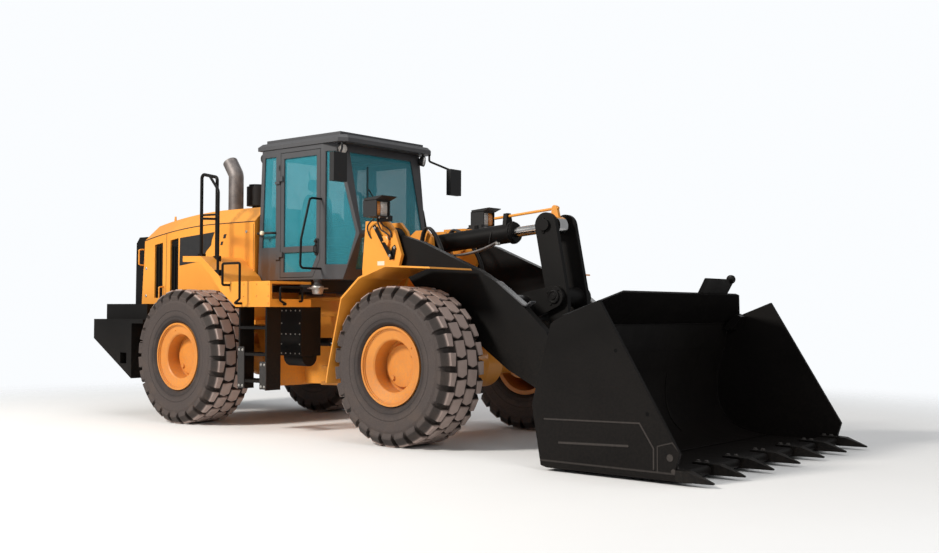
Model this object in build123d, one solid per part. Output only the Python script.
"""Wheel loader with an articulated frame and a Z-bar linkage.

Millimetres, +X forward, +Y to the machine's left, +Z up.  The origin is on the ground under the middle of the
machine.  Outlines of the front half are measured from the front axle, those of the rear half from the frame pivot.
"""
import os
from math import atan2, cos, pi, sin

from build123d import *

os.makedirs("parts", exist_ok=True)

# ---- driving dimensions -------------------------------------------------------------------------------------
WHEELBASE = 3556
FRONT_REACH = 3710          # front axle to the tooth tips
BACK_REACH = 3802           # frame pivot to the back of the counterweight
TRACK = 2230
TYRE_R = 812
TYRE_W = 620
RIM_R = 405
AXLE_Z = TYRE_R
PIVOT_X = (BACK_REACH - WHEELBASE / 2 - FRONT_REACH) / 2
FRONT_X = PIVOT_X + WHEELBASE / 2
REAR_X = PIVOT_X - WHEELBASE / 2

PIN_FIT = 0.3               # running clearance of a pin in its bore
SEAT = 0.3                  # gap between a bolted piece and what carries it
SIDE_FIT = 6                # side clearance of a moving eye between its ears


FORWARD = (1, 0, 0)
LEFT = (0, 1, 0)
UP = (0, 0, 1)


# ---- small makers -------------------------------------------------------------------------------------------
def front(points):
    """Outline points measured from the front axle."""
    return [(FRONT_X + x, z) for x, z in points]


def rear(points):
    """Outline points measured from the frame pivot."""
    return [(PIVOT_X + x, z) for x, z in points]


def tail(points):
    """Outline points measured forward from the back of the counterweight."""
    return [(PIVOT_X - BACK_REACH + x, z) for x, z in points]


def plate(outline, y0, y1, corner=0):
    """An outline in the XZ plane, given thickness from y0 to y1."""
    face = Polygon(*outline, align=None)
    if corner:
        face = fillet(face.vertices(), corner)
    return extrude(Plane.XZ.offset(-y0) * face, amount=y1 - y0, dir=LEFT)


def slab(outline, z0, z1, corner=0):
    """An outline in the XY plane, given height from z0 to z1."""
    face = Polygon(*outline, align=None)
    if corner:
        face = fillet(face.vertices(), corner)
    return extrude(Plane.XY.offset(z0) * face, amount=z1 - z0, dir=UP)


def block(x0, x1, y0, y1, z0, z1):
    centre = Pos((x0 + x1) / 2, (y0 + y1) / 2, (z0 + z1) / 2)
    return centre * Box(x1 - x0, y1 - y0, z1 - z0)


def bar(start, end, r):
    """A round bar between two points."""
    a = Vector(*start)
    b = Vector(*end)
    return extrude(Plane(origin=a, z_dir=b - a) * Circle(r), amount=(b - a).length)


def pin_y(at, r, y0, y1):
    """A pin along Y at an (x, z) place."""
    return bar((at[0], y0, at[1]), (at[0], y1, at[1]), r)


def pin_z(x, y, r, z0, z1):
    return bar((x, y, z0), (x, y, z1), r)


def tube(points, r, bend):
    """A bent round tube."""
    path = FilletPolyline(*points, radius=bend)
    return sweep(Plane(origin=path @ 0, z_dir=path % 0) * Circle(r), path=path)


def strap(a, ra, b, rb, y0, y1):
    """A plate that wraps two round ends, a and b being (x, z) places."""
    ends = Pos(*a) * Circle(ra) + Pos(*b) * Circle(rb)
    return extrude(Plane.XZ.offset(-y0) * make_hull(ends.edges()), amount=y1 - y0, dir=LEFT)


def other_side(shape):
    return mirror(shape, about=Plane.XZ)


def pair(shape):
    return [shape, other_side(shape)]


def at_angle(origin, target, offset):
    """The (x, z) place that is offset from origin along the line to target."""
    angle = atan2(target[1] - origin[1], target[0] - origin[0])
    return (origin[0] + offset * cos(angle), origin[1] + offset * sin(angle))


# ---- linkage points, (x, z) ---------------------------------------------------------------------------------
BOOM_PIVOT = (FRONT_X - 660, 2120)
BUCKET_PIN = (FRONT_X + 1870, 420)
BELL_PIN = (FRONT_X + 1220, 1520)
BELL_TOP = (FRONT_X + 1070, 2260)
BELL_FOOT = (FRONT_X + 1300, 660)
LINK_PIN = (FRONT_X + 1865, 780)
LIFT_FOOT = (FRONT_X - 1050, 750)
LIFT_HEAD = (FRONT_X + 220, 1380)
STEER_FOOT = (PIVOT_X - 750, 500)      # (x, y)
STEER_HEAD = (PIVOT_X + 300, 300)      # (x, y)
STEER_Z = 1000
PIN_R = 45
BIG_PIN_R = 55

# widths, from the middle plane
FRAME_IN = 280              # front frame box, inside of its side plates
FRAME_OUT = 320
LIFT_Y = 430
TOWER_PLATE = 40
TOWER_IN = 530              # inner tower plate starts here
ARM_IN = 600                # boom arm
ARM_OUT = 690
TOWER_OUT = 720             # outer tower plate starts here
EAR_IN = 130                # tilt cylinder's ears
BELL_IN = 150
BELL_OUT = 200


# ---- wheels -------------------------------------------------------------------------------------------------
LUG_DEPTH = 42
LUGS_PER_ROW = 26
SHOULDER = 70               # how far the shoulder slopes in, across the tyre
TREAD_R = TYRE_R - LUG_DEPTH
BEAD_R = RIM_R - 22
BEAD_Y = TYRE_W / 2 * 0.76
TREAD_ROWS = [              # outline as shares of the pitch and of half the width, turn in pitches
    ([(-0.34, 1.1), (0.30, 1.1), (0.36, 0.60), (-0.30, 0.52)], 0),
    ([(-0.44, 0.04), (0.30, 0.04), (0.46, 0.25), (0.34, 0.46), (-0.40, 0.46)], 0.5),
]


def make_tyre():
    """Carcass with a row of shoulder lugs and a row of tread blocks on each side, their tops flat."""
    half = TYRE_W / 2
    profile = [(BEAD_R, BEAD_Y), (RIM_R + 4, BEAD_Y), (RIM_R + 40, half * 0.90), (TREAD_R * 0.84, half - 8),
               (TREAD_R - 70, half - 22), (TREAD_R, half - 90)]
    carcass = Polygon(*profile, *[(r, -y) for r, y in profile[::-1]], align=None)
    tyre = revolve(Plane.XY * carcass, axis=Axis.Y)
    pitch = 2 * pi * TYRE_R / LUGS_PER_ROW
    shoulder = Polygon((0, TREAD_R - 150), (half - 34, TREAD_R - 150), (half, TREAD_R - 60),
                       (half, TYRE_R - 85), (half - SHOULDER, TYRE_R), (0, TYRE_R), align=None)
    envelope = extrude(Plane.YZ.offset(-pitch) * shoulder, amount=2 * pitch, dir=FORWARD)
    turn = 360 / LUGS_PER_ROW
    blocks = []
    for outline, start in TREAD_ROWS:
        foot = TREAD_R - (150 if start == 0 else 20)
        reach = max(x for x, y in outline) * pitch
        lug = slab([(x * pitch, y * half) for x, y in outline], foot, (TYRE_R ** 2 - reach ** 2) ** 0.5) & envelope
        for k in range(LUGS_PER_ROW):
            blocks.append(Rot(0, (k + start) * turn, 0) * lug)
            blocks.append(Rot(0, (k + start + 0.5) * turn, 0) * other_side(lug))
    return tyre.fuse(*blocks)


SPINDLE_R = 90
HUB_R = 225
BARREL_R = 265                          # opening of the dished face
DISH = 62                               # depth of the dished face behind the flange
RIM_FACE = BEAD_Y + 28                  # outer flange, from the wheel's middle plane
HUB_FACE = RIM_FACE - 189
DISC_FACE = HUB_FACE - 40
GUTTER = 26
WALL = 24


def make_rim():
    """The rim's section, outer side towards +Y: flange, dished face, barrel, disc and hub cap."""
    seat = BEAD_R - SEAT
    inner = seat - GUTTER
    section = Polygon(
        (RIM_R, RIM_FACE), (RIM_R, BEAD_Y + SEAT), (seat, BEAD_Y + SEAT), (seat, -BEAD_Y - SEAT),
        (RIM_R, -BEAD_Y - SEAT), (RIM_R, -RIM_FACE), (inner, -RIM_FACE), (inner, RIM_FACE - 70),
        (BARREL_R + WALL, RIM_FACE - 92), (BARREL_R + WALL, DISC_FACE - 30), (HUB_R, DISC_FACE - 30),
        (HUB_R, -150), (SPINDLE_R + PIN_FIT, -150), (SPINDLE_R + PIN_FIT, HUB_FACE - 15), (0, HUB_FACE - 15),
        (0, HUB_FACE), (HUB_R - 12, HUB_FACE), (HUB_R, HUB_FACE - 12), (HUB_R, DISC_FACE),
        (BARREL_R, DISC_FACE), (BARREL_R, RIM_FACE - DISH), (BARREL_R + 14, RIM_FACE - DISH + 12),
        (seat - 12, RIM_FACE - 26), (seat - 12, RIM_FACE - 14), (seat, RIM_FACE - 14), (seat, RIM_FACE),
        align=None)
    rim = revolve(Plane.XY * section, axis=Axis.Y)
    for turn in (0.25 * pi, 1.25 * pi):                    # drain and filler plugs of the hub
        at = (0.78 * HUB_R * cos(turn), 0.78 * HUB_R * sin(turn))
        rim += pin_y(at, 24, HUB_FACE - 5, HUB_FACE + 18)
    return rim


WHEELS = [                              # name, x, side
    ("front_right", FRONT_X, -1),
    ("front_left", FRONT_X, 1),
    ("rear_right", REAR_X, -1),
    ("rear_left", REAR_X, 1),
]


def place_wheel(shape, x, side):
    turned = shape if side > 0 else other_side(shape)
    return Pos(x, side * TRACK / 2, AXLE_Z) * turned


# ---- axles --------------------------------------------------------------------------------------------------
AXLE_TUBE = 140
DIFF_R = 270


def make_axle(x, pad_top, pad_y):
    """Axle beam with its differential, brake drums and spindles, and the pads under the frame."""
    hub_face = TRACK / 2 - 160
    tip = TRACK / 2 + HUB_FACE - 30
    section = Polygon(
        (0, 0), (DIFF_R, 0), (DIFF_R, 120), (AXLE_TUBE + 40, 260), (AXLE_TUBE, 300), (AXLE_TUBE, hub_face - 190),
        (AXLE_TUBE + 70, hub_face - 170), (AXLE_TUBE + 70, hub_face - 10), (SPINDLE_R, hub_face - 10),
        (SPINDLE_R, tip), (0, tip), align=None)
    half = revolve(Plane.XY * section, axis=Axis.Y)
    beam = Pos(x, 0, AXLE_Z) * (half + other_side(half))
    for pad in pair(block(x - 130, x + 130, pad_y - 60, pad_y + 60, AXLE_Z, pad_top - SEAT)):
        beam += pad
    return beam


FRAME_BOTTOM = 550
FRAME_TOP = 1450
BOX_X = PIVOT_X + 438       # back of the front frame's box
AXLE_SEAT = AXLE_Z + DIFF_R + 15        # underside of both frames over the axles


# ---- rear half: frame ---------------------------------------------------------------------------------------
RAIL_IN = 380
RAIL_OUT = 420
RAIL_TOP = 1255
BEARER = 55
HOOD_Y = 790
SPINE_Y = 150
HINGE_PIN_R = 60
HINGE_R = 150
LUG_Z = [(480, 520), (670, 710), (1300, 1340), (1490, 1530)]    # rear frame's hinge plates
TONGUE_Z = [(526, 664), (1346, 1484)]                      # front frame's tongues between them
BULKHEAD = -850                                            # from the pivot
CAB_FLOOR = 1730


def make_rear_frame():
    rail = plate(rear([(BULKHEAD, RAIL_TOP), (BULKHEAD, 560), (-1250, 560), (REAR_X - PIVOT_X + 330, AXLE_SEAT),
                       (REAR_X - PIVOT_X - 330, AXLE_SEAT), (-2450, 800)])
                 + tail([(902, 800), (502, 1000), (502, RAIL_TOP)]), RAIL_IN, RAIL_OUT)
    frame = rail + other_side(rail)
    frame += block(PIVOT_X + BULKHEAD - 40, PIVOT_X + BULKHEAD, -620, 620, 460, RAIL_TOP + 200)
    frame += block(PIVOT_X + BULKHEAD - 1, PIVOT_X - 160, -SPINE_Y, SPINE_Y, LUG_Z[0][0], LUG_Z[3][1])
    for x in (552 - BACK_REACH, -2350, -1150):
        frame += block(PIVOT_X + x, PIVOT_X + x + 120, -HOOD_Y, HOOD_Y, RAIL_TOP - BEARER, RAIL_TOP)
    frame += block(PIVOT_X - BACK_REACH + 902, PIVOT_X - BACK_REACH + 962, -RAIL_IN - 1, RAIL_IN + 1, 820,
                   RAIL_TOP)
    frame += block(REAR_X - 150, REAR_X + 150, -RAIL_IN - 1, RAIL_IN + 1, AXLE_SEAT, AXLE_SEAT + 60)
    for low, high in LUG_Z:
        ear = slab([(PIVOT_X - 400, -300), (PIVOT_X, -HINGE_R), (PIVOT_X, HINGE_R), (PIVOT_X - 400, 300)],
                   low, high)
        frame += ear + pin_z(PIVOT_X, 0, HINGE_R, low, high)
    for low, high in ((LUG_Z[0][0], LUG_Z[1][1]), (LUG_Z[2][0], LUG_Z[3][1])):
        frame += pin_z(PIVOT_X, 0, HINGE_PIN_R, low - 20, high + 20)
    for z in (STEER_Z - 95, STEER_Z + 55):
        ear = block(PIVOT_X + BULKHEAD - 1, STEER_FOOT[0], STEER_FOOT[1] - 70, STEER_FOOT[1] + 70, z, z + 40)
        ear += pin_z(*STEER_FOOT, 70, z, z + 40)
        frame += ear + other_side(ear)
    pin = pin_z(*STEER_FOOT, 35, STEER_Z - 110, STEER_Z + 110)
    frame += pin + other_side(pin)
    for x in (-1000, -330):                                # cab bearers
        frame += block(PIVOT_X + x, PIVOT_X + x + 180, -700, 700, CAB_FLOOR - 140, CAB_FLOOR - SEAT)
    for x in (-990, -310):
        frame += block(PIVOT_X + x, PIVOT_X + x + 140, -140, 140, RAIL_TOP - 60, CAB_FLOOR - 139)
    return frame


def make_engine():
    return block(PIVOT_X - 2950, PIVOT_X - 1950, -330, 330, RAIL_TOP + SEAT, 2150)


def make_gearbox():
    reach = RAIL_IN - SEAT
    case = block(PIVOT_X - 1250, PIVOT_X - 900, -reach, reach, 720, 1180)
    return case + bar((PIVOT_X - 1249, 0, AXLE_Z), (REAR_X + DIFF_R + SEAT, 0, AXLE_Z), 55)


# ---- rear half: body ----------------------------------------------------------------------------------------
HOOD_BOTTOM = RAIL_TOP + SEAT
HOOD_FRONT = -1060
HOOD_TOP = 2641
HOOD_SKIN = 25
HOOD_SLOPE = 190            # width of the sloped band along the top
HOOD_BACK = 390 - BACK_REACH                # foot of the back panel, from the pivot
BACK_LEAN = 80                              # how far its top lies forward
BACK_TOP = 2350
VENTS = [(-3111, 180), (-2767, 175)]        # back edge from the pivot, width
VENT_BOTTOM = 1530


def hood_form(inset):
    """The hood's outer form, or the form inside its skin: a curved top with a sloped band at each side."""
    back = PIVOT_X + HOOD_BACK + inset
    face = PIVOT_X + HOOD_FRONT - inset
    top = HOOD_TOP - inset
    brow = (back + BACK_LEAN + 50, 2500 - inset)
    with BuildSketch(Plane.XZ) as side:
        with BuildLine():
            Polyline(brow, (back + BACK_LEAN, BACK_TOP), (back, HOOD_BOTTOM - inset), (face, HOOD_BOTTOM - inset),
                     (face, top), (PIVOT_X - 1900, top))
            ThreePointArc((PIVOT_X - 1900, top), ((brow[0] + PIVOT_X - 1900) / 2, top - 42), brow)
        make_face()
    half = HOOD_Y - inset
    body = extrude(side.sketch, amount=half, both=True, dir=LEFT)
    crown = [edge for edge in body.edges() if edge.center().Z > brow[1] and abs(edge.center().Y) > half - 1]
    return chamfer(crown, HOOD_SLOPE)


EXHAUST = (PIVOT_X - 2420, 0, 100)         # x, y, radius
PRECLEANER = (PIVOT_X - 2380, 320, 60)


def make_hood():
    hood = hood_form(0) - hood_form(HOOD_SKIN)
    for x, y, r in (EXHAUST, PRECLEANER):
        hood -= pin_z(x, y, r + SEAT, 2400, 2800)
    for x, width in VENTS:
        hood -= plate(vent_outline(x, width), -HOOD_Y - 50, HOOD_Y + 50)
    return hood


def vent_outline(x, width):
    """A side vent, its top edge running with the hood's crease."""
    rise = (x + 3111) * 0.14
    return rear([(x, VENT_BOTTOM), (x + width, VENT_BOTTOM), (x + width, 2258 + rise), (x, 2234 + rise)])


def make_vent_screens():
    """A louvred screen behind each side vent."""
    screens = []
    for x, width in VENTS:
        back = HOOD_Y - HOOD_SKIN - SEAT
        top = max(z for place, z in vent_outline(x, width)) + 25
        screen = block(PIVOT_X + x - 20, PIVOT_X + x + width + 20, back - 12, back, VENT_BOTTOM - 20, top)
        for k in range(3):
            rib = PIVOT_X + x + (k + 0.5) * width / 3
            screen += block(rib - 6, rib + 6, back - 1, back + 14, VENT_BOTTOM + 2, 2200)
        screens += pair(screen)
    return screens


GRILLE_BACK = 217 - BACK_REACH
GRILLE_Y = 760


def hood_back(z):
    """How far behind the pivot the hood's back panel lies at a height."""
    return HOOD_BACK + BACK_LEAN * (z - HOOD_BOTTOM) / (BACK_TOP - HOOD_BOTTOM)


def make_grille():
    frame = plate(rear([(GRILLE_BACK, 1400), (GRILLE_BACK + 8, 2270), (GRILLE_BACK + 80, BACK_TOP),
                        (hood_back(BACK_TOP) - SEAT, BACK_TOP), (hood_back(1400) - SEAT, 1400)]),
                  -GRILLE_Y, GRILLE_Y)
    frame -= block(PIVOT_X + GRILLE_BACK - 50, PIVOT_X + GRILLE_BACK + 110, -GRILLE_Y + 70, GRILLE_Y - 70,
                   1480, 2290)
    for k in range(9):
        z = 1480 + (k + 0.5) * 90
        frame += block(PIVOT_X + GRILLE_BACK + 40, PIVOT_X + GRILLE_BACK + 111, -GRILLE_Y + 69, GRILLE_Y - 69,
                       z - 16, z + 16)
    return [frame] + make_vent_screens()


CW_TOP = 1450
CW_LEDGE = 1250
CW_Y = 1250
CW_TOP_Y = 1060
TOW_X = 80 - BACK_REACH
TOW_R = 27
TOW_FLOOR = 1020


def make_counterweight():
    back = PIVOT_X - BACK_REACH
    lower = plate(tail([(0, 996), (0, CW_LEDGE), (1115, CW_LEDGE), (1115, 1200), (870, 1200), (870, 494)]),
                  -CW_Y, CW_Y)
    upper = block(back, back + 930, -CW_TOP_Y, CW_TOP_Y, CW_LEDGE - 1, CW_TOP)
    weight = lower + upper
    weight -= block(back + 162, back + 1200, -HOOD_Y - 20, HOOD_Y + 20, RAIL_TOP - BEARER - SEAT, CW_TOP + 1)
    weight -= block(back + 497, back + 1200, -RAIL_OUT - SEAT, RAIL_OUT + SEAT, 400, CW_TOP + 1)
    weight -= pin_z(PIVOT_X + TOW_X, 0, TOW_R, TOW_FLOOR, CW_TOP + 1)
    weight -= block(back - 1, PIVOT_X + TOW_X + 70, -110, 110, 1090, 1180)
    for y in (-CW_Y, CW_Y - 300):
        weight -= block(back + 622, back + 762, y - 1, y + 301, 680, 820)
    return weight


def make_exhaust():
    x, y, r = EXHAUST
    return tube([(x, y, 2500), (x, y, 3190), (x - 130, y, 3370)], r, 120)


def make_precleaner():
    x, y, r = PRECLEANER
    return pin_z(x, y, r, 2500, 2800) + pin_z(x, y, 135, 2790, 3050) + pin_z(x, y, 105, 3049, 3080)


# ---- cab ----------------------------------------------------------------------------------------------------
CAB_Y = 775
CAB_TOP = 3290
CAB_WALL = 42
GLASS = 8
GLASS_DEPTH = 16
CAB_SIDE = rear([(-1012, CAB_FLOOR), (338, CAB_FLOOR), (508, 2250), (278, CAB_TOP), (-942, CAB_TOP)])
CAB_PLAN = [(PIVOT_X - 1100, -CAB_Y), (PIVOT_X + 118, -CAB_Y), (PIVOT_X + 508, -560), (PIVOT_X + 508, 560),
            (PIVOT_X + 118, CAB_Y), (PIVOT_X - 1100, CAB_Y)]


def cab_form(inset):
    """The cab's outer form drawn in by an inset."""
    side = Polygon(*CAB_SIDE, align=None)
    plan = Polygon(*CAB_PLAN, align=None)
    if inset:
        side = offset(side, amount=-inset, kind=Kind.INTERSECTION)
        plan = offset(plan, amount=-inset, kind=Kind.INTERSECTION)
    body = extrude(Plane.XZ.offset(CAB_Y + 10) * side, amount=2 * CAB_Y + 20, dir=LEFT)
    return body & extrude(Plane.XY.offset(CAB_FLOOR - 100) * plan, amount=2000, dir=UP)


DOOR_GAP = 6
HINGE_HEIGHTS = (2000, CAB_TOP - 390)
HEADER = CAB_TOP - 90        # top of the windows
HINGE_PIN = 7
KNUCKLE = HINGE_PIN + 3
DOOR = [(-602, 1760), (-602, CAB_TOP - 60), (78, CAB_TOP - 60), (78, 1960), (-40, 1760)]
DOOR_WINDOWS = [
    [(-545, 2120), (-545, CAB_TOP - 125), (20, CAB_TOP - 125), (20, 2120)],
    [(-545, 1820), (-545, 2050), (20, 2050), (20, 1985), (-75, 1820)],
]
SIDE_WINDOWS = [
    [(-935, 2120), (-893, HEADER), (-690, HEADER), (-690, 2120)],
    [(150, 1900), (150, HEADER), (262, HEADER), (470, 2260), (380, 1900)],
]
FRONT_WINDOWS = [                       # (y, z) outlines
    [(-520, 2290), (520, 2290), (520, HEADER), (-520, HEADER)],
    [(-490, 1850), (490, 1850), (510, 2210), (-510, 2210)],
]
REAR_WINDOW = [(-640, 2200), (640, 2200), (640, HEADER), (-640, HEADER)]


HINGE_X = PIVOT_X + DOOR[0][0] - 12
HINGE_Y = CAB_Y + 14
DOOR_SWING = DOOR[3][0] - DOOR[0][0] + 12   # radius of the door's free edge about its hinge


def side_cutter(outline, y0, y1):
    return plate(rear(outline), y0, y1)


def across_cutter(outline, x0, x1):
    return extrude(Plane.YZ.offset(x0) * Polygon(*outline, align=None), amount=x1 - x0, dir=FORWARD)


def cab_window_cutters():
    cutters = [side_cutter(outline, -CAB_Y - 5, CAB_Y + 5) for outline in SIDE_WINDOWS]
    cutters += [across_cutter(outline, PIVOT_X + 180, PIVOT_X + 600) for outline in FRONT_WINDOWS]
    cutters.append(across_cutter(REAR_WINDOW, PIVOT_X - 1100, PIVOT_X - 850))
    return cutters


def make_cab_shell():
    shell = cab_form(0) - cab_form(CAB_WALL)
    shell -= block(PIVOT_X - 880, PIVOT_X + 210, -CAB_Y + 120, CAB_Y - 120, CAB_TOP - 100, CAB_TOP + 10)
    for cutter in cab_window_cutters():
        shell -= cutter
    opening = offset(Polygon(*rear(DOOR), align=None), amount=DOOR_GAP, kind=Kind.INTERSECTION)
    shell -= extrude(Plane.XZ.offset(CAB_Y + 5) * opening, amount=2 * CAB_Y + 10, dir=LEFT)
    for z in HINGE_HEIGHTS:
        leaf = block(HINGE_X - 70, HINGE_X + KNUCKLE, CAB_Y - 2, HINGE_Y + KNUCKLE, z - 30, z - 1)
        leaf -= pin_z(HINGE_X, HINGE_Y, HINGE_PIN + PIN_FIT, z - 40, z + 10)
        leaf -= block(HINGE_X + 6, HINGE_X + 20, CAB_Y - 5, CAB_Y, z - 40, z + 10)
        shell += leaf + other_side(leaf)
    return shell


def glass_layer():
    return cab_form(GLASS_DEPTH) - cab_form(GLASS_DEPTH + GLASS)


def make_cab_glass():
    panes = []
    layer = glass_layer()
    for outline in SIDE_WINDOWS:
        panes += pair(layer & side_cutter(outline, CAB_Y - 300, CAB_Y + 5))
    for outline in FRONT_WINDOWS:
        panes.append(layer & across_cutter(outline, PIVOT_X + 180, PIVOT_X + 600))
    panes.append(layer & across_cutter(REAR_WINDOW, PIVOT_X - 1100, PIVOT_X - 850))
    return panes


def make_door():
    door = side_cutter(DOOR, CAB_Y - CAB_WALL, CAB_Y)
    for outline in DOOR_WINDOWS:
        door -= side_cutter(outline, CAB_Y - 100, CAB_Y + 10)
    for z in HINGE_HEIGHTS:
        door += pin_z(HINGE_X, HINGE_Y, HINGE_PIN, z - 30, z + 60)
        door += block(HINGE_X, HINGE_X + 60, CAB_Y + 3, HINGE_Y + 8, z, z + 60)
        door += block(HINGE_X + 12, HINGE_X + 60, CAB_Y - 2, CAB_Y + 4, z, z + 60)
    return door


def make_door_glass():
    depth = CAB_Y - GLASS_DEPTH
    return [side_cutter(outline, depth - GLASS, depth) for outline in DOOR_WINDOWS]


def make_roof():
    """A thin chamfered cap over a smaller air-conditioning pan."""
    outline = [(PIVOT_X - 1010, -790), (PIVOT_X + 380, -790), (PIVOT_X + 462, -700), (PIVOT_X + 462, 700),
               (PIVOT_X + 380, 790), (PIVOT_X - 1010, 790)]
    cap = slab(outline, CAB_TOP + SEAT, CAB_TOP + 85)
    cap = chamfer(cap.faces().sort_by(Axis.Z)[-1].edges(), 40)
    return cap + slab([(PIVOT_X - 950, -700), (PIVOT_X + 330, -700), (PIVOT_X + 330, 700),
                       (PIVOT_X - 950, 700)], CAB_TOP + 84, CAB_TOP + 130)


def make_seat():
    x = PIVOT_X - 560
    seat = block(x - 240, x + 260, -250, 250, 2130, 2270)
    seat += block(x - 330, x - 200, -240, 240, 2200, 2850)
    seat += block(x - 310, x - 220, -140, 140, 2849, 3020)
    return seat + block(x - 160, x + 160, -170, 170, CAB_FLOOR + CAB_WALL + SEAT, 2131)


def make_column():
    x = PIVOT_X + 150
    post = bar((x + 60, 0, CAB_FLOOR + CAB_WALL + 30), (x - 60, 0, 2450), 55)
    post += block(x - 80, x + 100, -120, 120, CAB_FLOOR + CAB_WALL + SEAT, CAB_FLOOR + 240)
    wheel = Pos(x - 66, 0, 2480) * Rot(0, -12, 0) * Torus(200, 16)
    spokes = Pos(x - 66, 0, 2480) * Rot(0, -12, 0) * (Box(400, 30, 14) + Box(30, 400, 14) + Cylinder(50, 60))
    return post + wheel + spokes


# ---- rear half: platforms and ladders ------------------------------------------------------------------------
FENDER_IN = HOOD_Y + SEAT
FENDER_OUT = 1400
DECK_Z = 1700
DECK_END = -42
SKIRT_BOTTOM = 1410
REAR_FENDER = [(-1650, 2020), (-1300, 2010), (-960, 1780), (-900, DECK_Z), (DECK_END, DECK_Z), (DECK_END, DECK_Z - 30),
               (-930, DECK_Z - 30), (-985, 1755), (-1310, 1980), (-1650, 1990)]


def deck_height(x):
    """Top of the rear fender sheet at a distance from the pivot."""
    for (x0, z0), (x1, z1) in zip(REAR_FENDER, REAR_FENDER[1:5]):
        if x0 <= x <= x1:
            return z0 + (z1 - z0) * (x - x0) / (x1 - x0)
    return DECK_Z


def make_rear_fenders():
    sheet = plate(rear(REAR_FENDER), FENDER_IN, FENDER_OUT)
    skirt = plate(rear(REAR_FENDER[:5] + [(DECK_END, SKIRT_BOTTOM), (-640, SKIRT_BOTTOM), (-930, 1600), (-1080, 1750),
                                          (-1330, 1940), (-1650, 1950)]), FENDER_OUT - 30, FENDER_OUT)
    beam = block(PIVOT_X - 640, PIVOT_X + DECK_END, FENDER_IN, FENDER_OUT - 29, SKIRT_BOTTOM, SKIRT_BOTTOM + 40)
    front_beam = block(PIVOT_X + DECK_END - 40, PIVOT_X + DECK_END, FENDER_IN, FENDER_OUT - 29, SKIRT_BOTTOM,
                       SKIRT_BOTTOM + 90)
    return pair(sheet + skirt + beam + front_beam)


LADDER_X = (-600, -110)
LADDER_IN = 1180
LADDER_OUT = 1385
LADDER_FOOT = 480
STEPS = (560, 860, 1160)


def make_ladders():
    x0, x1 = LADDER_X
    ladder = block(PIVOT_X + x0, PIVOT_X + x0 + 25, LADDER_IN, LADDER_OUT, LADDER_FOOT, SKIRT_BOTTOM - SEAT)
    ladder += block(PIVOT_X + x1 - 25, PIVOT_X + x1, LADDER_IN, LADDER_OUT, LADDER_FOOT, SKIRT_BOTTOM - SEAT)
    for z in STEPS:
        ladder += block(PIVOT_X + x0 + 24, PIVOT_X + x1 - 24, LADDER_IN, LADDER_OUT, z, z + 30)
    return pair(ladder)


def make_side_boxes():
    box = block(PIVOT_X - 400, PIVOT_X - 40, 640, 940, 850, SKIRT_BOTTOM - SEAT)
    box += bar((PIVOT_X - 380, 790, 840), (PIVOT_X - 60, 790, 840), 110)
    return pair(box)


RAIL_Y = 1200
POSTS = (-1560, -1262)      # posts over the fender, from the pivot
OUTER_POST = (-1000, 1380)  # post on the deck's edge, x from the pivot and y


def rail_foot(x, y):
    """A socket whose underside follows the fender sheet."""
    top = deck_height(x) + 34
    foot = block(PIVOT_X + x - 45, PIVOT_X + x + 45, y - 35, y + 19, top - 130, top)
    return foot - plate(rear(REAR_FENDER[:5] + [(DECK_END, 1500), (-1650, 1500)]), y - 60, y + 60).moved(Pos(0, 0, SEAT))


def make_handrails():
    back, fore = POSTS
    x, y = OUTER_POST
    rail = tube([(PIVOT_X + back, RAIL_Y, deck_height(back) + 8), (PIVOT_X + back, RAIL_Y, 3020),
                 (PIVOT_X + fore, RAIL_Y, 2960), (PIVOT_X + fore, RAIL_Y, deck_height(fore) + 18)], 20, 45)
    rail += bar((PIVOT_X + back, RAIL_Y, 2480), (PIVOT_X + fore, RAIL_Y, 2460), 14)
    rail += tube([(PIVOT_X + x, y, deck_height(x) + 12), (PIVOT_X + x, y, 2770),
                  (PIVOT_X + (back + fore) / 2, RAIL_Y, 2990)], 16, 60)
    rail += bar((PIVOT_X + back, RAIL_Y, 2520), (PIVOT_X + x, y, 2490), 12)
    for place in ((back, RAIL_Y), (fore, RAIL_Y), (x, y)):
        rail += rail_foot(*place)
    return pair(rail) + pair(make_deck_grip()) + pair(make_cab_grip())


def make_deck_grip():
    """Hand loops at the head of the ladder: one outside the door's sweep, one on the deck's front beam."""
    y = FENDER_OUT + SEAT
    off = HINGE_Y + DOOR_SWING + 20
    x0, x1 = PIVOT_X - 755, PIVOT_X - 445
    side = tube([(x0, y, 1660), (x0, off, 1660), (x0, off, 1905), (x1, off, 1905), (x1, off, 1500),
                 (x1 - 90, off, 1450), (x1 - 90, y, 1450)], 14, 24)
    x = PIVOT_X + DECK_END + SEAT
    front_loop = tube([(x, 1200, 1440), (x + 45, 1200, 1440), (x + 45, 1290, 1480), (x + 45, 1290, 1630),
                       (x + 45, 965, 1630), (x + 45, 965, 1475), (x, 965, 1475)], 13, 20)
    return side + front_loop


def make_cab_grip():
    """Grab rail on the cab's front pillar."""
    x = PIVOT_X + 104
    y = CAB_Y + SEAT
    return tube([(x, y, CAB_TOP - 640), (x, 950, CAB_TOP - 640), (x, 1080, 2175), (x, 1090, 1850), (x, y, 1850)],
                13, 45)


def make_mirrors():
    x = PIVOT_X + 600
    glass = block(x - 40, x + 30, 880, 1080, 2800, 3120)
    root = PIVOT_X + 400
    arm = tube([(root, 740, CAB_TOP), (root, 740, CAB_TOP - 75), (x - 5, 960, 3100)], 13, 30)
    return pair(glass + arm)


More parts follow.
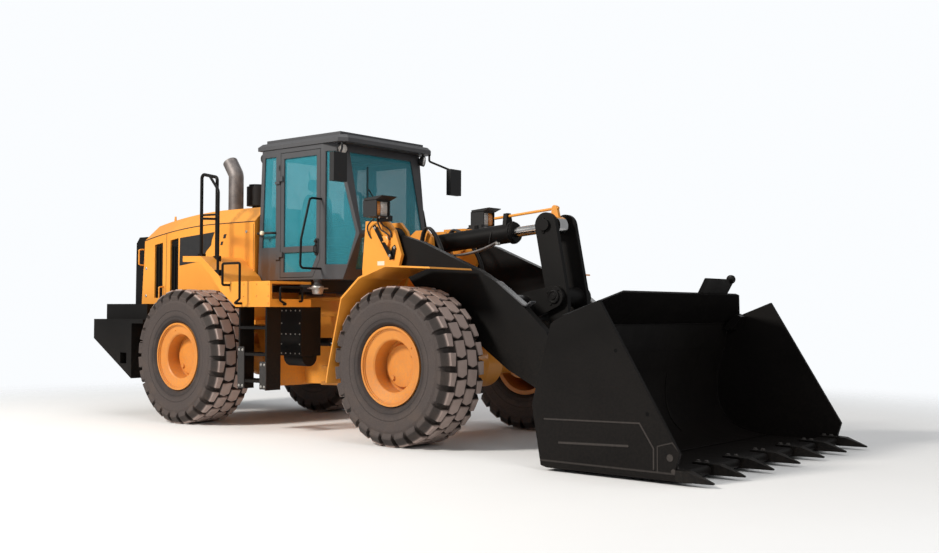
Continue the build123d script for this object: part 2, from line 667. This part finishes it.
# ---- front half ---------------------------------------------------------------------------------------------
TOWER_IN_OUTLINE = [(-1220, 600), (-900, 600), (-800, 950), (-620, 1500), (-425, 1976), (-530, 2240), (-630, 2340),
                    (-950, 2340), (-1020, 1830), (-1220, 1200)]
TOWER_OUT_OUTLINE = [(-1000, 1500), (-560, 1500), (-470, 1840), (-425, 1976), (-530, 2240), (-630, 2340),
                     (-970, 2360), (-1020, 1830)]
EAR_OUTLINE = [(-950, 1400), (-400, 1400), (-520, 2200), (-600, 2280), (-760, 2280), (-950, 2150)]


def make_front_frame():
    side = plate([(BOX_X, FRAME_TOP), (BOX_X, FRAME_BOTTOM)] + front([
        (-400, FRAME_BOTTOM), (-330, AXLE_SEAT), (330, AXLE_SEAT), (400, 1000), (400, 1250), (150, FRAME_TOP)]),
        FRAME_IN, FRAME_OUT)
    frame = side + other_side(side)
    half = FRAME_IN + 1
    frame += block(BOX_X, FRONT_X + 150, -half, half, FRAME_TOP - 40, FRAME_TOP)
    frame += block(BOX_X, FRONT_X - 400, -half, half, FRAME_BOTTOM, FRAME_BOTTOM + 40)
    frame += block(FRONT_X - 330, FRONT_X + 330, -half, half, AXLE_SEAT, AXLE_SEAT + 40)
    frame += block(BOX_X, BOX_X + 40, -half, half, FRAME_BOTTOM, FRAME_TOP)
    for low, high in TONGUE_Z:
        tongue = slab([(PIVOT_X, -HINGE_R), (BOX_X + 1, -FRAME_OUT), (BOX_X + 140, -FRAME_OUT),
                       (BOX_X + 140, FRAME_OUT), (BOX_X + 1, FRAME_OUT), (PIVOT_X, HINGE_R)], low, high)
        tongue += pin_z(PIVOT_X, 0, HINGE_R, low, high)
        frame += tongue
    for low, high in TONGUE_Z:
        frame -= pin_z(PIVOT_X, 0, HINGE_PIN_R + PIN_FIT, low - 50, high + 50)
    inner = plate(front(TOWER_IN_OUTLINE), TOWER_IN, TOWER_IN + TOWER_PLATE)
    outer = plate(front(TOWER_OUT_OUTLINE), TOWER_OUT, TOWER_OUT + TOWER_PLATE)
    ear = plate(front(EAR_OUTLINE), EAR_IN, EAR_IN + TOWER_PLATE)
    foot = block(FRONT_X - 1220, FRONT_X - 1180, FRAME_OUT - 1, TOWER_IN + 1, 620, 1400)
    for piece in (inner, outer, ear, foot):
        frame += piece + other_side(piece)
    reach = TOWER_OUT + TOWER_PLATE
    frame += block(FRONT_X - 980, FRONT_X - 940, -reach, reach, 1500, 2140)
    frame += block(FRONT_X - 980, FRONT_X - 940, -TOWER_IN - 1, TOWER_IN + 1, 1400, 1501)
    pins = pin_y(BOOM_PIVOT, BIG_PIN_R, TOWER_IN - 20, reach + 20) + pin_y(LIFT_FOOT, PIN_R, FRAME_OUT - 1, 590)
    frame += pins + other_side(pins)
    frame += pin_y(BOOM_PIVOT, BIG_PIN_R, -EAR_IN - 60, EAR_IN + 60)
    for z in (STEER_Z - 95, STEER_Z + 55):
        lug = block(STEER_HEAD[0], BOX_X + 1, STEER_HEAD[1] - 60, FRAME_OUT, z, z + 40)
        lug += pin_z(*STEER_HEAD, 60, z, z + 40)
        frame += lug + other_side(lug)
    return frame


FRONT_FENDER = [(-900, 600), (-870, 760), (-680, 1490), (-420, 1700), (-50, 1815), (560, 1785)]
SHEET = 18


def make_front_fenders():
    inner = front(FRONT_FENDER)
    outer = [(x - SHEET * 0.6, z + SHEET) for x, z in inner]
    sheet = plate(inner + outer[::-1], TOWER_OUT + TOWER_PLATE + SEAT, FENDER_OUT)
    return pair(sheet)


def make_headlamps():
    """Lamp housings with a visor, open towards the front for the lenses, on their brackets."""
    x = FRONT_X - 760
    lamp = block(x, x + 200, 800, 1010, 2380, 2560)
    lamp -= block(x + 170, x + 201, 812, 998, 2392, 2548)
    lamp += plate([(x + 20, 2559), (x + 20, 2580), (x + 290, 2600), (x + 290, 2592), (x + 200, 2559)], 790, 1020)
    lamp += block(x, x + 200, TOWER_OUT + TOWER_PLATE + SEAT, 801, 2340, 2400)
    return pair(lamp)


def make_lift_barrels():
    foot = (LIFT_FOOT[0], LIFT_Y, LIFT_FOOT[1])
    end = at_angle(LIFT_FOOT, LIFT_HEAD, 1230)
    start = at_angle(LIFT_FOOT, LIFT_HEAD, 70)
    base = at_angle(LIFT_FOOT, LIFT_HEAD, 110)
    barrel = bar((start[0], LIFT_Y, start[1]), (end[0], LIFT_Y, end[1]), 80)
    barrel += pin_y(LIFT_FOOT, 90, LIFT_Y - 45, LIFT_Y + 45)
    barrel -= pin_y(LIFT_FOOT, PIN_R + PIN_FIT, LIFT_Y - 60, LIFT_Y + 60)
    mouth = at_angle(LIFT_FOOT, LIFT_HEAD, 1235)
    barrel -= bar((base[0], LIFT_Y, base[1]), (mouth[0], LIFT_Y, mouth[1]), 45 + PIN_FIT)
    return pair(barrel)


def make_lift_rods():
    inner = at_angle(LIFT_FOOT, LIFT_HEAD, 120)
    neck = at_angle(LIFT_FOOT, LIFT_HEAD, 1350)
    rod = bar((inner[0], LIFT_Y, inner[1]), (neck[0], LIFT_Y, neck[1]), 45)
    rod += pin_y(LIFT_HEAD, 85, LIFT_Y - 45, LIFT_Y + 45)
    rod += pin_y(LIFT_HEAD, PIN_R, LIFT_Y - 60, ARM_IN - 75 - PIN_FIT * 2)
    return pair(rod)


BOOM_TOP = [(-500, 2190), (-210, 2110), (210, 1940), (610, 1780), (790, 1680), (1150, 1430), (1440, 1170)]
BOOM_BOTTOM = [(1600, 440), (1290, 635), (970, 790), (610, 1030), (250, 1240), (-100, 1420), (-450, 1800),
               (-640, 1960)]
BOOM_NOSE = [(1730, 600), (1800, 400), (1780, 320)]
CROSS_TUBE = (FRONT_X + 830, 1400)


def make_boom():
    arm = plate(front(BOOM_TOP + BOOM_NOSE + BOOM_BOTTOM), ARM_IN, ARM_OUT)
    arm += pin_y(BOOM_PIVOT, 165, ARM_IN, ARM_OUT)
    arm += strap(BUCKET_PIN, 130, (FRONT_X + 1500, 720), 160, ARM_IN, ARM_OUT)
    arm += pin_y(LIFT_HEAD, 110, ARM_IN - 75, ARM_IN + 1)
    arm -= pin_y(BOOM_PIVOT, BIG_PIN_R + PIN_FIT, ARM_IN - 10, ARM_OUT + 10)
    arm -= pin_y(BUCKET_PIN, PIN_R + PIN_FIT, ARM_IN - 10, ARM_OUT + 10)
    boom = arm + other_side(arm)
    boom += pin_y(CROSS_TUBE, 140, -ARM_IN - 1, ARM_IN + 1)
    cheek = strap(BELL_PIN, 110, (CROSS_TUBE[0] + 60, CROSS_TUBE[1] + 20), 150, BELL_OUT + 8, BELL_OUT + 58)
    boom += cheek + other_side(cheek)
    boom += pin_y(BELL_PIN, PIN_R, -BELL_OUT - 60, BELL_OUT + 60)
    return boom


def make_bellcrank():
    side = strap(BELL_PIN, 130, BELL_TOP, 130, BELL_IN, BELL_OUT) + strap(BELL_PIN, 130, BELL_FOOT, 95, BELL_IN,
                                                                        BELL_OUT)
    crank = side + other_side(side) + pin_y(BELL_PIN, 100, -BELL_IN - 1, BELL_IN + 1)
    crank -= pin_y(BELL_PIN, PIN_R + PIN_FIT, -BELL_OUT - 10, BELL_OUT + 10)
    crank += pin_y(BELL_FOOT, PIN_R, -BELL_OUT - 20, BELL_OUT + 20)
    boss = pin_y(BELL_TOP, 60, BELL_OUT - 1, BELL_OUT + 30)
    return crank + boss + other_side(boss)


LINK_Y = 70


def make_link():
    link = strap(BELL_FOOT, 95, LINK_PIN, 60, -LINK_Y, LINK_Y)
    link -= pin_y(BELL_FOOT, PIN_R + PIN_FIT, -LINK_Y - 10, LINK_Y + 10)
    return link


LEVEL_R = 15                # level rod over the tilt cylinder
LEVEL_UP = 185              # its height over the cylinder's axis
GUIDE = (1075, 1125)        # its guide on the barrel, along the cylinder
TILT_LENGTH = ((BELL_TOP[0] - BOOM_PIVOT[0]) ** 2 + (BELL_TOP[1] - BOOM_PIVOT[1]) ** 2) ** 0.5


def over_tilt(offset, up):
    """The place over the tilt cylinder's axis at an offset along it."""
    x, z = at_angle(BOOM_PIVOT, BELL_TOP, offset)
    rise = atan2(BELL_TOP[1] - BOOM_PIVOT[1], BELL_TOP[0] - BOOM_PIVOT[0])
    return (x - up * sin(rise), 0, z + up * cos(rise))


def make_level_rod():
    return bar(over_tilt(930, LEVEL_UP), over_tilt(TILT_LENGTH + 45, LEVEL_UP), LEVEL_R)


def make_tilt_barrel():
    start = at_angle(BOOM_PIVOT, BELL_TOP, 90)
    end = at_angle(BOOM_PIVOT, BELL_TOP, 1210)
    base = at_angle(BOOM_PIVOT, BELL_TOP, 160)
    barrel = bar((start[0], 0, start[1]), (end[0], 0, end[1]), 105)
    along = Vector(*over_tilt(GUIDE[1], 0)) - Vector(*over_tilt(GUIDE[0], 0))
    guide = Plane(origin=over_tilt(GUIDE[0], 0), x_dir=LEFT, z_dir=along) * Polygon(
        (-70, 60), (70, 60), (34, LEVEL_UP + 32), (-34, LEVEL_UP + 32), align=None)
    barrel += extrude(guide, amount=along.length)
    barrel -= bar(over_tilt(GUIDE[0] - 20, LEVEL_UP), over_tilt(GUIDE[1] + 20, LEVEL_UP), LEVEL_R + PIN_FIT)
    barrel += pin_y(BOOM_PIVOT, 115, -EAR_IN + 10, EAR_IN - 10)
    barrel -= pin_y(BOOM_PIVOT, BIG_PIN_R + PIN_FIT, -EAR_IN - 10, EAR_IN + 10)
    mouth = at_angle(BOOM_PIVOT, BELL_TOP, 1215)
    barrel -= bar((base[0], 0, base[1]), (mouth[0], 0, mouth[1]), 55 + PIN_FIT)
    return barrel


def make_tilt_rod():
    inner = at_angle(BOOM_PIVOT, BELL_TOP, 640)
    neck = at_angle(BOOM_PIVOT, BELL_TOP, 1640)
    rod = bar((inner[0], 0, inner[1]), (neck[0], 0, neck[1]), 55)
    rod += pin_y(BELL_TOP, 100, -70, 70)
    head = over_tilt(TILT_LENGTH, LEVEL_UP)
    rod += strap(BELL_TOP, 60, (head[0], head[2]), 34, -20, 20)
    return rod - bar(over_tilt(TILT_LENGTH - 60, LEVEL_UP), over_tilt(TILT_LENGTH + 60, LEVEL_UP),
                     LEVEL_R + PIN_FIT)


# ---- bucket -------------------------------------------------------------------------------------------------
BUCKET_Y = 1660
SIDE_PLATE = 32
SHELL = 28
FLOOR_Z = 30
LIP_X = FRONT_REACH - 310    # front axle to the cutting edge
BUCKET_SIDE = front([(2687, 1470), (2230, 1294), (2190, 1266), (1990, 566), (2086, 46), (2150, FLOOR_Z),
                     (LIP_X, FLOOR_Z), (LIP_X, FLOOR_Z + 92), (LIP_X + 40, 250)])
SHELL_OUT = [(2560, 1560), (2230, 1294), (2190, 1266), (1990, 566), (2086, 46), (2150, FLOOR_Z), (LIP_X, FLOOR_Z),
             (LIP_X, FLOOR_Z + 40)]
SHELL_IN = [(2150 + 60, FLOOR_Z + 40), (2105, 90), (2022, 566), (2216, 1250), (2250, 1275), (2580, 1545)]
TEETH = 7
TOOTH_W = 110
TIP_SPREAD = 1648


GUARD_Y = 1080              # the spill guard keeps its full height this far out
GUARD_FALL = 230            # and falls by this to the side plates
EDGE_R = 38                 # rounded cutting edge between the teeth


def tooth_places():
    reach = min(TIP_SPREAD, BUCKET_Y - TOOTH_W / 2)
    return [-reach + k * 2 * reach / (TEETH - 1) for k in range(TEETH)]


def make_bucket():
    shell = plate(front(SHELL_OUT + SHELL_IN), -BUCKET_Y + SIDE_PLATE, BUCKET_Y - SIDE_PLATE)
    corner = Polygon((GUARD_Y, 1600), (GUARD_Y, 1560), (BUCKET_Y, 1560 - GUARD_FALL), (BUCKET_Y, 1600), align=None)
    for cutter in pair(extrude(Plane.YZ.offset(FRONT_X + 2232) * corner, amount=400, dir=FORWARD)):
        shell -= cutter
    shell += plate(front([(2536, 1541), (2560, 1560), (2640, 1700), (2622, 1700)]), 300, 900)
    places = tooth_places()
    for left, right in zip(places, places[1:]):
        y0 = left + TOOTH_W / 2 + SIDE_FIT
        y1 = right - TOOTH_W / 2 - SIDE_FIT
        shell += pin_y((FRONT_X + LIP_X, FLOOR_Z + EDGE_R), EDGE_R, y0, y1)
        shell += block(FRONT_X + LIP_X - 150, FRONT_X + LIP_X, y0, y1, FLOOR_Z + 39, FLOOR_Z + 2 * EDGE_R)
    side = plate(BUCKET_SIDE, BUCKET_Y - SIDE_PLATE - 1, BUCKET_Y)
    bucket = shell + side + other_side(side)
    for y0, y1 in ((ARM_IN - 60, ARM_IN - SIDE_FIT), (ARM_OUT + SIDE_FIT, ARM_OUT + 60)):
        ear = plate(front([(1800, 330), (1990, 200), (2060, 200), (2060, 800), (2000, 720), (1800, 520)]), y0, y1)
        ear += pin_y(BUCKET_PIN, 120, y0, y1)
        bucket += ear + other_side(ear)
    pins = pin_y(BUCKET_PIN, PIN_R, ARM_IN - 70, ARM_OUT + 70)
    bucket += pins + other_side(pins)
    ear = plate(front([(1800, 700), (2080, 640), (2170, 1100), (2040, 1060)]), LINK_Y + 12, LINK_Y + 60)
    ear += pin_y(LINK_PIN, 85, LINK_Y + 12, LINK_Y + 60)
    ear += pin_y(LINK_PIN, 55, LINK_Y + 59, LINK_Y + 85)
    bucket += ear + other_side(ear)
    bucket -= front_plane_cut()
    gusset = plate(front([(2200, 1190), (2300, 1180), (2420, 1320), (2340, 1352)]), BUCKET_Y - SIDE_PLATE - 150,
                   BUCKET_Y - SIDE_PLATE + 1)
    bucket += gusset + other_side(gusset)
    return bucket


def front_plane_cut():
    """Clears the bucket's inside of the ears' plates."""
    inside = plate(front(SHELL_IN[::-1] + [(2210, FLOOR_Z + 40), (LIP_X - 200, FLOOR_Z + 40), (3000, 1500)]),
                   -BUCKET_Y + SIDE_PLATE + 5, BUCKET_Y - SIDE_PLATE - 5)
    return inside


def make_teeth():
    """Wedges that narrow to a blunt tip."""
    side = front([(LIP_X + SEAT, FLOOR_Z), (LIP_X + SEAT, FLOOR_Z + 90), (LIP_X + 100, FLOOR_Z + 85),
                  (FRONT_REACH, FLOOR_Z + 12), (FRONT_REACH, FLOOR_Z)])
    half = TOOTH_W / 2
    plan = front([(LIP_X, -half), (LIP_X + 60, -half), (FRONT_REACH, -12), (FRONT_REACH, 12), (LIP_X + 60, half),
                  (LIP_X, half)])
    tooth = plate(side, -half, half) & slab(plan, FLOOR_Z - 10, FLOOR_Z + 100)
    return [Pos(0, y, 0) * tooth for y in tooth_places()]


# ---- steering cylinders -------------------------------------------------------------------------------------
STEER_BARREL = 620
STEER_ROD = 700


def steer_at(offset):
    angle = atan2(STEER_HEAD[1] - STEER_FOOT[1], STEER_HEAD[0] - STEER_FOOT[0])
    return (STEER_FOOT[0] + offset * cos(angle), STEER_FOOT[1] + offset * sin(angle), STEER_Z)


def make_steer_barrel():
    barrel = bar(steer_at(60), steer_at(STEER_BARREL), 50)
    barrel += pin_z(*STEER_FOOT, 62, STEER_Z - 45, STEER_Z + 45)
    barrel -= pin_z(*STEER_FOOT, 35 + PIN_FIT, STEER_Z - 60, STEER_Z + 60)
    return barrel - bar(steer_at(80), steer_at(STEER_BARREL + 5), 25 + PIN_FIT)


def make_steer_rod():
    length = ((STEER_HEAD[0] - STEER_FOOT[0]) ** 2 + (STEER_HEAD[1] - STEER_FOOT[1]) ** 2) ** 0.5
    rod = bar(steer_at(length - STEER_ROD), steer_at(length - 40), 25)
    rod += pin_z(*STEER_HEAD, 52, STEER_Z - 35, STEER_Z + 35)
    return rod + pin_z(*STEER_HEAD, 30, STEER_Z - 55 + PIN_FIT, STEER_Z + 55 - PIN_FIT)


# ---- nodes --------------------------------------------------------------------------------------------------
def build():
    nodes = {
        "rear_frame": make_rear_frame(),
        "engine_block": make_engine(),
        "gearbox": make_gearbox(),
        "rear_axle": make_axle(REAR_X, AXLE_SEAT, (RAIL_IN + RAIL_OUT) / 2),
        "engine_hood": make_hood(),
        "rear_grille": make_grille(),
        "counterweight": make_counterweight(),
        "exhaust": make_exhaust(),
        "precleaner": make_precleaner(),
        "cab_shell": make_cab_shell(),
        "cab_roof": make_roof(),
        "cab_glass": make_cab_glass(),
        "seat": make_seat(),
        "steering_column": make_column(),
        "rear_fenders": make_rear_fenders(),
        "ladders": make_ladders(),
        "side_boxes": make_side_boxes(),
        "handrails": make_handrails(),
        "mirrors": make_mirrors(),
        "front_frame": make_front_frame(),
        "front_axle": make_axle(FRONT_X, AXLE_SEAT, (FRAME_IN + FRAME_OUT) / 2),
        "front_fenders": make_front_fenders(),
        "headlamps": make_headlamps(),
        "lift_barrels": make_lift_barrels(),
        "lift_rods": make_lift_rods(),
        "boom": make_boom(),
        "bellcrank": make_bellcrank(),
        "tilt_link": make_link(),
        "tilt_barrel": make_tilt_barrel(),
        "tilt_rod": make_tilt_rod(),
        "level_rod": make_level_rod(),
        "bucket": make_bucket(),
        "bucket_teeth": make_teeth(),
    }
    door = make_door()
    glass = make_door_glass()
    barrel = make_steer_barrel()
    rod = make_steer_rod()
    nodes["door_left"] = door
    nodes["door_right"] = other_side(door)
    nodes["door_glass_left"] = glass
    nodes["door_glass_right"] = [other_side(pane) for pane in glass]
    nodes["steer_barrel_left"] = barrel
    nodes["steer_barrel_right"] = other_side(barrel)
    nodes["steer_rod_left"] = rod
    nodes["steer_rod_right"] = other_side(rod)
    tyre = make_tyre()
    rim = make_rim()
    for name, x, side in WHEELS:
        nodes["tyre_" + name] = place_wheel(tyre, x, side)
        nodes["rim_" + name] = place_wheel(rim, x, side)
    return nodes


for node, shape in build().items():
    solids = shape if isinstance(shape, list) else [shape]
    solids = [solid for piece in solids for solid in piece.solids()]
    export_step(Compound(children=solids) if len(solids) > 1 else solids[0], "parts/" + node + ".step")
